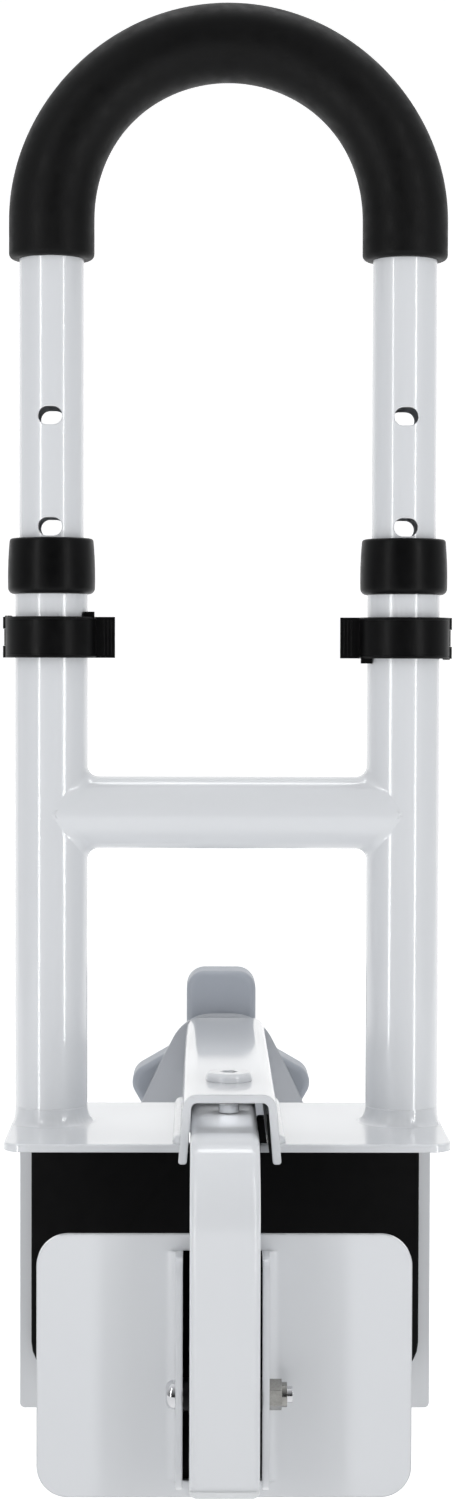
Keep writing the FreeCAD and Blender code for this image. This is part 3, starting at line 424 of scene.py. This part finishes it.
def bead(name, route, outward, radius, body, slot="white_coat", replaced=(), ripple=0.07):
    """A round bar along a route, given its outward way; a weld has overlapping ripples."""
    rings = []
    travelled = 0.0
    last = len(route) - 1
    for step, point in enumerate(route):
        ahead = (route[min(step + 1, last)] - route[max(step - 1, 0)]).normalized()
        across = ahead.cross(outward(point)).normalized()
        up = across.cross(ahead).normalized()
        size = radius(step) if callable(radius) else radius
        size *= 1 - ripple * (1 - math.sqrt(travelled / RIPPLE % 1.0))
        turns = (2 * math.pi * part / BEAD_SIDES for part in range(BEAD_SIDES))
        rings.append([point + across * size * math.cos(turn) + up * size * math.sin(turn)
                      for turn in turns])
        if step < last:
            travelled += (route[step + 1] - point).length
    points, faces = skin(rings)
    faces += end_caps(BEAD_SIDES, len(points))
    return piece(name, points, faces, body, slot, replaced)


FOOT_WIDE, FOOT_TALL = 3.6 * MM, 6.6 * MM
FOOT_RIPPLE = 0.05
SUNK = 0.5 * MM
FILLET_WIDE = 4.4 * MM
FILLET_STEPS, FILLET_PARTS = 60, 8
FILLET_SWEEP = math.radians(89)    # each way from straight up or down
FILLET_ROOT = 0.94                 # of a tube's radius, where the hidden root lies
DIVE = [(1 * MM, 0.05 * MM), (2 * MM, 0.3 * MM), (3 * MM, 0.8 * MM)]    # along, deeper
TIP_REACH, TIP_PROUD, TIP_FALL = 3 * MM, 0.04 * MM, 0.3 * MM
TIP_RINGS, TIP_SIDES = 6, 24


def make_post_welds():
    """A hollow-sided, faintly rippled skirt of weld round each post's foot.

    It is narrower on the outer side, where it stays inside the deck's edge.
    """
    steps, parts = 216, 9
    edge = span("base_plate")[1].x - SUNK / 2
    for side, sign in (("left", -1), ("right", 1)):
        rings = []
        for step in range(steps):
            turn = 2 * math.pi * step / steps
            out = Vector((math.cos(turn), math.sin(turn), 0))
            lean = out.x * sign
            room = (edge - POST_X) / lean - POST_RADIUS if lean > 0.1 else FOOT_WIDE
            wave = 1 - FOOT_RIPPLE * (1 - math.sqrt(POST_RADIUS * turn / RIPPLE % 1.0))
            wide, tall = min(FOOT_WIDE, room) * wave, FOOT_TALL * wave
            ring = []
            for part in range(parts + 1):
                bend = math.pi / 2 * part / parts
                ring.append((wide * (1 - math.sin(bend)), tall * (1 - math.cos(bend))))
            ring += [(-SUNK, tall), (-SUNK, -SUNK), (wide, -SUNK)]
            centre = Vector((sign * POST_X, POST_Y, DECK_TOP))
            rings.append([centre + out * (POST_RADIUS + away) + Vector((0, 0, up))
                          for away, up in ring])
        points, faces = skin(rings, closed=True)
        piece(f"{side}_post_weld", points, faces, "base", "white_coat", [f"{side}_post_bead"])


def add_closed(points, faces, rings):
    """Add a skin with closed ends to a piece's points and faces."""
    more, sheets = skin(rings)
    first = len(points)
    sheets += end_caps(len(rings[0]), len(more))
    points += more
    faces += [tuple(corner + first for corner in face) for face in sheets]


def fillet_ring(turn):
    """A fillet's section where it passes round the bar at a turn from straight up.

    X is inward from the post's axis. The section follows a ball that rolls along the corner and
    grows as the corner opens. Its edges dive under the tubes' surfaces at a slight angle.
    """
    hollow = FILLET_WIDE / math.sqrt(abs(math.cos(turn)))
    reach = BAR_RADIUS + hollow
    shrink = BAR_RADIUS / reach
    up, deep = reach * math.cos(turn), reach * math.sin(turn)
    inward = abs(up)
    ball = Vector((inward, deep, up))
    on_post = Vector((inward * shrink, deep * shrink, up))
    on_bar = Vector((inward, deep * shrink, up * shrink))
    from_post = Vector((on_post.x, on_post.y, 0)).normalized()
    from_bar = Vector((0, on_bar.y, on_bar.z)).normalized()
    rise = Vector((0, 0, math.copysign(1, up)))
    ring = [on_post + rise * along - from_post * deeper for along, deeper in reversed(DIVE)]
    for part in range(FILLET_PARTS + 1):
        way = (on_post - ball).slerp(on_bar - ball, part / FILLET_PARTS)
        ring.append(ball + way.normalized() * hollow)
    ring += [on_bar + Vector((along, 0, 0)) - from_bar * deeper for along, deeper in DIVE]
    ring.append(ball * shrink * FILLET_ROOT)
    return ring


def tip_dome(way):
    """Rings of a shallow dome that covers the bar's sharp tip, where the fillets meet."""
    tip = math.sqrt(max(POST_RADIUS ** 2 - BAR_RADIUS ** 2, 0))
    rings = []
    for share in (part / TIP_RINGS for part in range(1, TIP_RINGS + 1)):
        depth = BAR_RADIUS + TIP_PROUD - TIP_FALL * share ** 2
        turns = (2 * math.pi * part / TIP_SIDES for part in range(TIP_SIDES))
        rings.append([Vector((tip + TIP_REACH * share * math.cos(turn), way * depth,
                              TIP_REACH * share * math.sin(turn))) for turn in turns])
    return rings


def make_bar_welds():
    """Smooth hollow fillets above and below each end of the crossbar, as a ground weld has."""
    for side, sign in (("left", -1), ("right", 1)):
        points, faces = [], []
        shapes = []
        for middle_turn in (0, math.pi):
            turns = (middle_turn + FILLET_SWEEP * (2 * step / FILLET_STEPS - 1)
                     for step in range(FILLET_STEPS + 1))
            shapes.append([fillet_ring(turn) for turn in turns])
        shapes += [tip_dome(way) for way in (-1, 1)]
        for rings in shapes:
            add_closed(points, faces, [
                [Vector((sign * (POST_X - at.x), POST_Y + at.y, BAR_CENTRE.z + at.z))
                 for at in ring] for ring in rings])
        piece(f"{side}_bar_weld", points, faces, "base", "white_coat", [f"{side}_bar_beads"])


def make_bridge_welds():
    """Welds along the outside of the bridge's walls on the deck, tapered at their ends."""
    steps, taper, thick = 160, 6, 2.7 * MM
    for side, sign in (("left", -1), ("right", 1)):
        low, high = span(f"{side}_bridge_bead")
        inner = high.x if sign < 0 else low.x
        route = [Vector((inner + sign * 0.2 * MM, low.y + (high.y - low.y) * step / steps,
                         DECK_TOP + 0.3 * MM)) for step in range(steps + 1)]
        way = Vector((sign, 0, 1)).normalized()
        bead(f"{side}_bridge_weld", route, lambda point, way=way: way,
             lambda step: thick * math.sqrt(min(max(min(step, steps - step) / taper, 0.02), 1)),
             "base", replaced=[f"{side}_bridge_bead"])


# ---------------------------------------------------------------- collars, locks and screw

def make_collars():
    """Barrel-shaped plastic collars with rounded rims."""
    sides, bulge, widest_at = 96, 0.75 * MM, 0.3
    for side, sign in (("left", -1), ("right", 1)):
        low, high = span(f"{side}_collar")
        widest, tall = (high.y - low.y) / 2, high.z - low.z
        rim, lip = 2.5 * MM, 1.2 * MM

        def belly(up):
            return widest - bulge * ((up / tall - widest_at) / (1 - widest_at)) ** 2
        profile = [(POST_RADIUS, 0.0)]
        for part in range(7):
            bend = math.pi / 2 * part / 6
            profile.append((belly(rim) - rim * (1 - math.sin(bend)), rim * (1 - math.cos(bend))))
        profile += [(belly(up), up) for up in (rim + (tall - lip - rim) * part / 12
                                               for part in range(1, 12))]
        for part in range(6):
            bend = math.pi / 2 * part / 5
            profile.append((belly(tall - lip) - lip * (1 - math.cos(bend)),
                            tall - lip * (1 - math.sin(bend))))
        bore = LEG_RADIUS + CLEARANCE
        seat = span(f"{side}_post")[1].z - low.z
        profile += [(bore + 0.4 * MM, tall), (bore, tall - 0.4 * MM), (bore, seat),
                    (POST_RADIUS, seat)]
        rings = [[Vector((sign * POST_X + radius * math.cos(2 * math.pi * turn / sides),
                          POST_Y + radius * math.sin(2 * math.pi * turn / sides), low.z + up))
                  for turn in range(sides)] for radius, up in profile]
        points, faces = skin(rings, closed=True)
        piece(f"{side}_collar_shell", points, faces, "base", "black_plastic",
              [f"{side}_collar"])


LIP_RADIUS, LIP_TIP, LIP_INSET = 0.45 * MM, 0.2 * MM, 0.7 * MM
LIP_START, LIP_SWEEP, LIP_STEPS = -12, -150, 40    # in degrees round the post
RIDGES = (20.9 * MM, 22.3 * MM, 23.7 * MM)    # out from the post's axis
RIDGE_FRONT = 4.45 * MM


def make_lock_lips():
    """Thin lips round the lock doors' bands, and grip ridges on their tabs."""
    for side, sign, turned in (("left", -1, 1), ("right", 1, -1)):
        low, high = span(f"{side}_lock_saddle")
        centre = Vector((sign * POST_X, POST_Y, (low.z + high.z) / 2))
        half = (high.z - low.z) / 2
        outer = high.y - POST_Y
        for name, up in (("top", half - LIP_INSET), ("low", LIP_INSET - half)):
            route = []
            for step in range(LIP_STEPS + 1):
                turn = math.radians(LIP_START + LIP_SWEEP * step / LIP_STEPS)
                route.append(centre + Vector((turned * outer * math.cos(turn),
                                              outer * math.sin(turn), up)))
            bead(f"{side}_door_{name}_lip", route,
                 lambda point, centre=centre: Vector((point.x - centre.x, point.y - centre.y, 0)),
                 LIP_RADIUS, f"{side}_door", "black_plastic", ripple=0)
        for number, out in enumerate(RIDGES):
            route = [centre + Vector((turned * out, -RIDGE_FRONT, half * level))
                     for level in (-0.86, -0.84, 0, 0.84, 0.86)]
            bead(f"{side}_tab_ridge_{number}", route, lambda point: Vector((0, -1, 0)),
                 lambda step: LIP_RADIUS if 0 < step < 4 else LIP_TIP, f"{side}_door",
                 "black_plastic", ripple=0)


def make_thread():
    """The clamp screw with its thread, which runs out before the stop collar."""
    low, high = span("clamp_screw")
    centre = middle("clamp_screw")
    radius = (high.z - low.z) / 2
    plain = span("screw_stop_collar")[0].y - 1 * MM
    pitch, depth, sides, per_turn = 2 * MM, 0.8 * MM, 28, 8
    chamfer = 0.8 * MM
    rings = []
    along = low.y

    def ring(along, size_of):
        made = []
        for share in (part / sides for part in range(sides)):
            size, turn = size_of(share), 2 * math.pi * share
            made.append(Vector((centre.x + size * math.cos(turn), along,
                                centre.z + size * math.sin(turn))))
        return made

    while along < plain:
        fade = min((along - low.y) / pitch, (plain - along) / pitch, 1.0)

        def groove(share, along=along, fade=fade):
            wave = abs(2 * ((along / pitch - share) % 1.0) - 1)
            return radius - depth * min(max(1.6 * wave - 0.3, 0.0), 1.0) * fade
        rings.append(ring(along, groove))
        along += pitch / per_turn
    rings += [ring(plain, lambda share: radius), ring(high.y - chamfer, lambda share: radius),
              ring(high.y, lambda share: radius - chamfer)]
    points, faces = skin(rings)
    faces += end_caps(sides, len(points))
    piece("threaded_screw", points, faces, "screw", "bright_zinc", ["clamp_screw"])


# ---------------------------------------------------------------- rubber jaw faces

NOTCH_LEFT, NOTCH_RIGHT, NOTCH_DEEP = -15.3 * MM, 12.8 * MM, 12.3 * MM
PAD_EDGE = 1.1 * MM
FIXED_CORNER, NOTCH_CORNER, MOVING_CORNER = 15 * MM, 1.2 * MM, 8 * MM


def rounded_outline(corners, radius_of, steps=6):
    """A closed outline in a plane with each corner replaced by an arc."""
    made = []
    count = len(corners)
    for number, (x, z) in enumerate(corners):
        here = Vector((x, z))
        before = (Vector(corners[number - 1]) - here).normalized()
        after = (Vector(corners[(number + 1) % count]) - here).normalized()
        half = before.angle(after) / 2
        radius = radius_of(number)
        reach = radius / math.tan(half)
        centre = here + (before + after).normalized() * radius / math.sin(half)
        start = (here + before * reach) - centre
        end = (here + after * reach) - centre
        sweep = start.angle_signed(end)
        for step in range(steps + 1):
            turn = -sweep * step / steps
            made.append(centre + Matrix.Rotation(turn, 2) @ start)
    return made


def slab(name, outline, front, back, edge, body, slot, replaced):
    """A flat plate of rubber between two depths, with rounded rims."""
    count = len(outline)

    def inset(distance):
        made = []
        for number, point in enumerate(outline):
            ahead = (outline[(number + 1) % count] - outline[number - 1]).normalized()
            inward = Vector((-ahead.y, ahead.x))
            made.append(point + inward * distance)
        return made
    turning = sum(outline[number - 1].x * outline[number].y
                  - outline[number].x * outline[number - 1].y for number in range(count))
    sign = 1 if turning > 0 else -1
    way = 1 if back > front else -1
    rings = []
    for depth, shrink in ((0, 1.0), (0.3, 0.3), (1.0, 0.0)):
        rings.append([Vector((point.x, front + way * edge * depth, point.y))
                      for point in inset(sign * edge * shrink)])
    for depth, shrink in ((1.0, 0.0), (0.3, 0.3), (0, 1.0)):
        rings.append([Vector((point.x, back - way * edge * depth, point.y))
                      for point in inset(sign * edge * shrink)])
    points, faces = skin(rings)
    faces += end_caps(count, len(points))
    return piece(name, points, faces, body, slot, replaced)


def make_rubber_faces():
    """The jaws' rubber pads, with soft rims; the fixed one is notched round the arm."""
    low, high = span("fixed_jaw_rubber")
    floor = high.z - NOTCH_DEEP
    corners = [(low.x, low.z), (high.x, low.z), (high.x, high.z), (NOTCH_RIGHT, high.z),
               (NOTCH_RIGHT, floor), (NOTCH_LEFT, floor), (NOTCH_LEFT, high.z), (low.x, high.z)]
    outline = rounded_outline(
        corners, lambda number: FIXED_CORNER if number < 2 else NOTCH_CORNER)
    fixed = slab("fixed_jaw_pad", outline, low.y, high.y, PAD_EDGE, "base", "black_rubber",
                 ["fixed_jaw_rubber"])
    low, high = span("moving_jaw_rubber")
    corners = [(low.x, low.z), (high.x, low.z), (high.x, high.z), (low.x, high.z)]
    outline = rounded_outline(corners, lambda number: MOVING_CORNER)
    moving = slab("moving_jaw_pad", outline, low.y, high.y, PAD_EDGE, "jaw", "black_rubber",
                  ["moving_jaw_rubber"])


# ---------------------------------------------------------------- studio

CAMERA_PLACE = (-0.0097, POST_Y - 1.092, DECK_TOP + 0.1825)
CAMERA_DOWN, CAMERA_ASIDE, CAMERA_ROLL = (math.radians(angle) for angle in (1.844, 0.513, 0.146))

# The world's strength along Y and up Z: from, to, and the strength at each.
WORLD_ALONG = (-0.8, 0.5, 0.03, 0.62)
WORLD_UP = (0.0, 1.0, 0.0, 0.4)
WORLD_SEEN = 1.0
FLOOR_Z = -0.9
PAPER_GLOW = (0.3, 2.4, 0.3, 0.63)    # from and to along Y, and the glow at each

# The two front strips and fills: angle from the front, distance, width, height, level, power.
STRIP = (41.4, 0.62, 0.045, 0.99, 0.405, 1.46)
FILL = (38, 0.95, 0.2, 0.8, 0.25, 1.0)
TOP_POWER = 5
CHANNEL_POWER = 0.006
CHANNEL_UP, CHANNEL_IN = 16.5 * MM, 26 * MM


def look(obj, place, target):
    obj.location = place
    obj.rotation_euler = (Vector(target) - Vector(place)).to_track_quat("-Z", "Y").to_euler()


def panel(name, place, target, width, height, power):
    """A soft rectangular studio light."""
    light = bpy.data.lights.new(name, "AREA")
    light.shape = "RECTANGLE"
    light.size, light.size_y = width, height
    light.energy = power
    holder = add_object(name, light)
    look(holder, place, target)
    return holder


def make_camera():
    camera = bpy.data.cameras.new("camera")
    camera.sensor_fit = "VERTICAL"
    camera.sensor_height = 24.0
    camera.lens = 44.19
    camera.clip_start = 0.01
    holder = add_object("camera", camera)
    turn = (Matrix.Rotation(-CAMERA_ASIDE, 4, "Z")
            @ Matrix.Rotation(math.pi / 2 - CAMERA_DOWN, 4, "X")
            @ Matrix.Rotation(CAMERA_ROLL, 4, "Z"))
    holder.matrix_world = Matrix.Translation(CAMERA_PLACE) @ turn
    bpy.context.scene.camera = holder


def make_world():
    """A white studio, whose light is weaker from the arm side, so that gloss shows.

    The camera itself sees it plain white.
    """
    world = bpy.data.worlds.new("studio")
    bpy.context.scene.world = world
    world.use_nodes = True
    tree = world.node_tree
    way = tree.nodes.new("ShaderNodeTexCoord")
    parts = tree.nodes.new("ShaderNodeSeparateXYZ")
    tree.links.new(way.outputs["Generated"], parts.inputs["Vector"])

    def ramp(letter, start, end, low, high):
        made = tree.nodes.new("ShaderNodeMapRange")
        made.interpolation_type = "SMOOTHSTEP"
        for name, value in (("From Min", start), ("From Max", end), ("To Min", low),
                            ("To Max", high)):
            made.inputs[name].default_value = value
        tree.links.new(parts.outputs[letter], made.inputs["Value"])
        return made.outputs["Result"]
    total = tree.nodes.new("ShaderNodeMath")
    total.operation = "ADD"
    tree.links.new(ramp("Y", *WORLD_ALONG), total.inputs[0])
    tree.links.new(ramp("Z", *WORLD_UP), total.inputs[1])
    background = tree.nodes["Background"]
    background.inputs["Color"].default_value = (0.97, 0.985, 1, 1)
    seen = tree.nodes.new("ShaderNodeMix")
    seen.inputs["B"].default_value = WORLD_SEEN
    tree.links.new(tree.nodes.new("ShaderNodeLightPath").outputs["Is Camera Ray"],
                   seen.inputs["Factor"])
    tree.links.new(total.outputs["Value"], seen.inputs["A"])
    tree.links.new(seen.outputs["Result"], background.inputs["Strength"])


def make_floor():
    """White paper well under the rail, which curves up behind it. It glows more there: painted
    light in place of lamps on the paper, and the glow also lights the rail from below.
    """
    rings = []
    for reach, up in ((-6, 0), (5, 0), (6.2, 0.25), (6.9, 0.9), (7.2, 2), (7.3, 9)):
        rings.append([Vector((side, reach, FLOOR_Z + up)) for side in (-8, 8)])
    points, faces = skin(rings, loop=False)
    mesh = bpy.data.meshes.new("studio_floor")
    mesh.from_pydata([tuple(point) for point in points], [], faces)
    for face in mesh.polygons:
        face.use_smooth = True
    paper = Finish("studio_paper", (0.85, 0.85, 0.85), 0.9)
    paper.vary_colour(paper.noise(400 * MM), (0.86, 0.86, 0.86))
    # The paper's glow is painted light: emission that brightens it more towards the back.
    paper.shader.inputs["Emission Color"].default_value = (1, 1, 1, 1)
    parts = paper.node("ShaderNodeSeparateXYZ")
    paper.link(paper.place, parts.inputs["Vector"])
    glow = paper.node("ShaderNodeMapRange", interpolation_type="SMOOTHSTEP")
    for name, value in zip(("From Min", "From Max", "To Min", "To Max"), PAPER_GLOW):
        glow.inputs[name].default_value = value
    paper.link(parts.outputs["Y"], glow.inputs["Value"])
    paper.link(glow.outputs["Result"], paper.shader.inputs["Emission Strength"])
    mesh.materials.append(paper.material)
    floor = add_object("studio_floor", mesh)


def make_studio():
    """Two thin strips and two hidden fills in front, a panel above, and one in the bridge."""
    make_world()
    make_floor()
    bpy.context.scene.view_settings.view_transform = "Standard"
    for side, sign in (("left", -1), ("right", 1)):
        for name, (angle, away, wide, tall, level, power) in (("strip", STRIP), ("fill", FILL)):
            turn = math.radians(sign * angle)
            place = (away * math.sin(turn), POST_Y - away * math.cos(turn), level)
            light = panel(f"{side}_{name}", place, (0, POST_Y, level), wide, tall, power)
            light.visible_glossy = name == "strip"
    panel("top_panel", (0, 0.5, 1.8), (0, POST_Y, 0.2), 1.6, 0.25, TOP_POWER)
    mouth = (middle("bridge_channel").x, span("bridge_channel")[0].y + CHANNEL_IN)
    roof = DECK_TOP + CHANNEL_UP
    inside = panel("channel_fill", (*mouth, roof), (*mouth, 0), 0.02, 0.044, CHANNEL_POWER)
    inside.visible_glossy = False


finish_cad_nodes()
make_hoop_shell()
make_grip()
make_post_welds()
make_bar_welds()
make_bridge_welds()
make_collars()
make_lock_lips()
make_thread()
make_rubber_faces()
make_camera()
make_studio()
